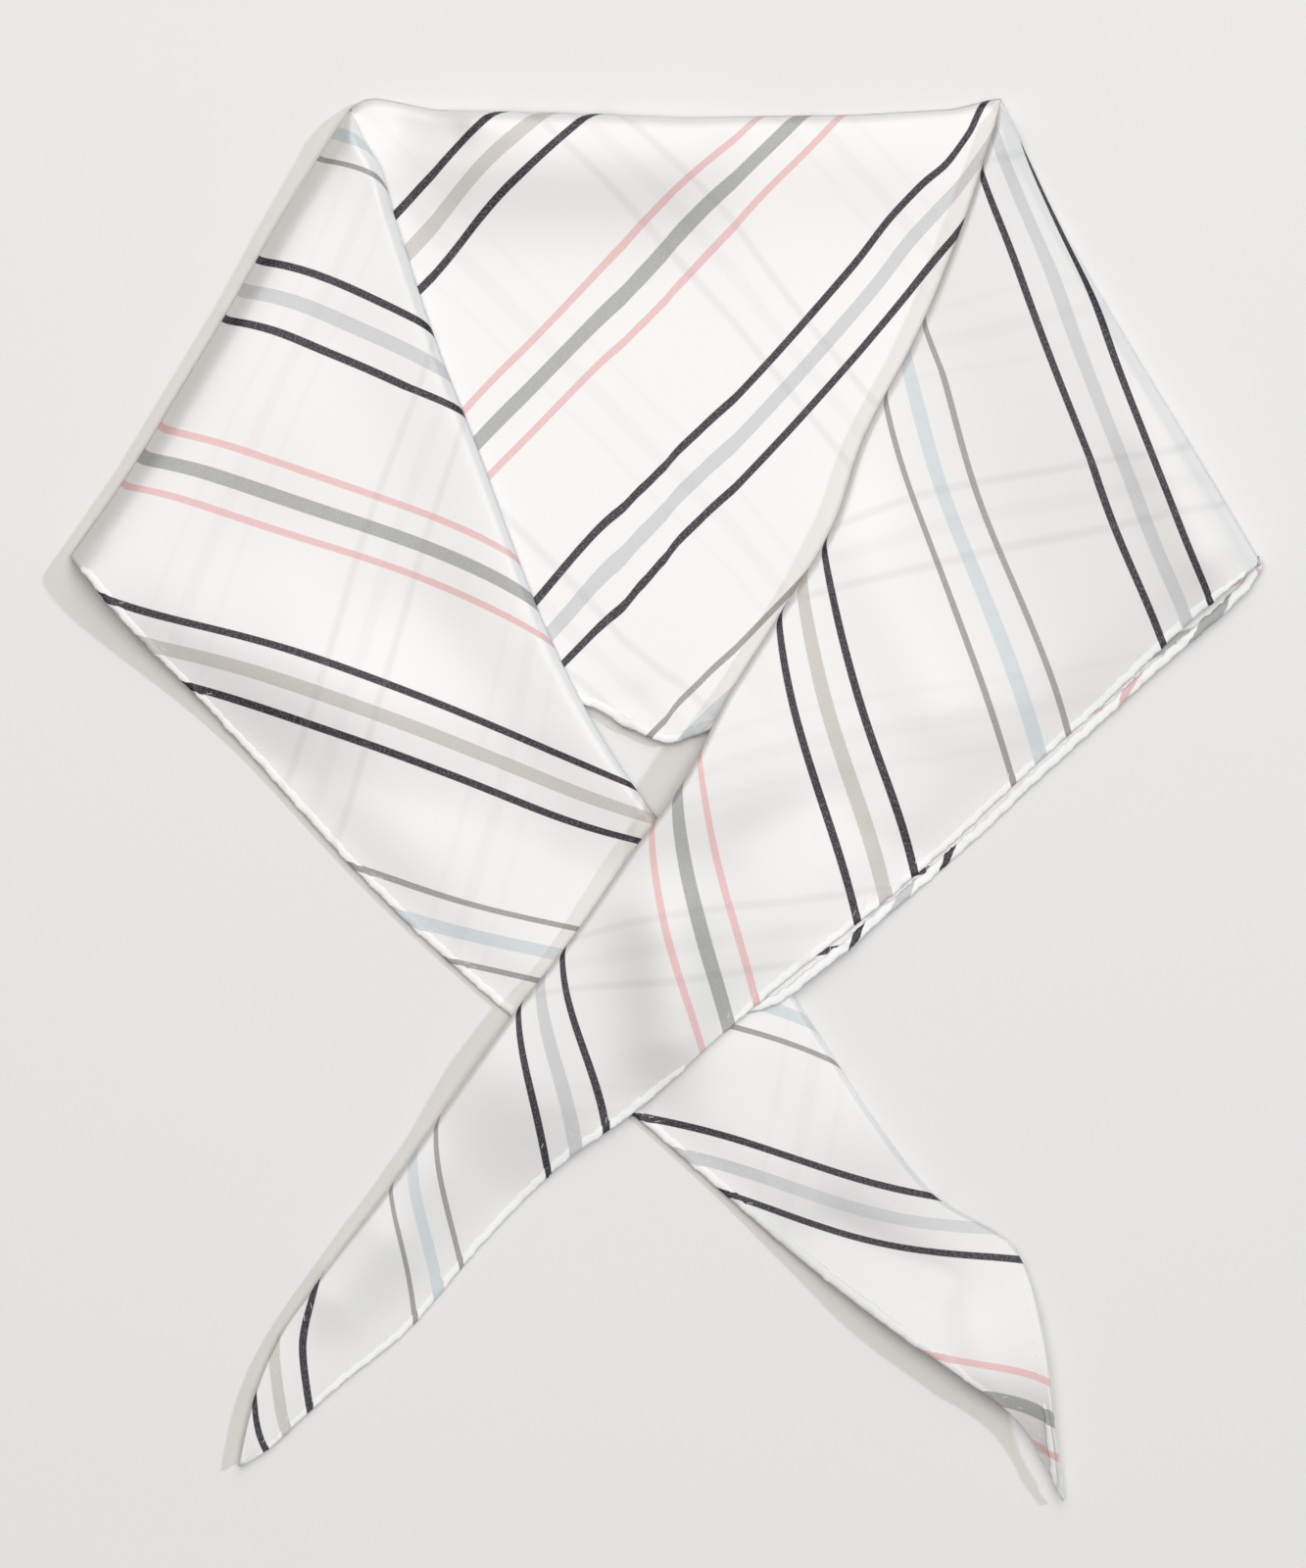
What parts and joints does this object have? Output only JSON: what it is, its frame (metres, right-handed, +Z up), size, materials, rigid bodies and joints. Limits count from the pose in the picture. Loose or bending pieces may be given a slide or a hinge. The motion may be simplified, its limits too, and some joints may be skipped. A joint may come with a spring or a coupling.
{
  "type": "triangle scarf",
  "caption": "Printed silk scarf folded into a shallow triangle and laid flat, with its ends folded down over the middle and crossed, the right end on top.",
  "frame": {"origin": "the middle of the laid scarf's bounding box, on the surface that it lies on", "axes": "+Z up from the surface, +Y from the crossed tips towards the top fold, +X towards the right shoulder as seen from above"},
  "size_m": [0.4048, 0.4741, 0.0118],
  "materials": {
    "printed_silk": "white silk twill with a soft satin sheen, printed with groups of thin slanted stripes"
  },
  "bodies": {
    "root": {"centre_panel": "printed_silk", "left_tail": "printed_silk", "right_tail": "printed_silk"}
  },
  "joints": []
}
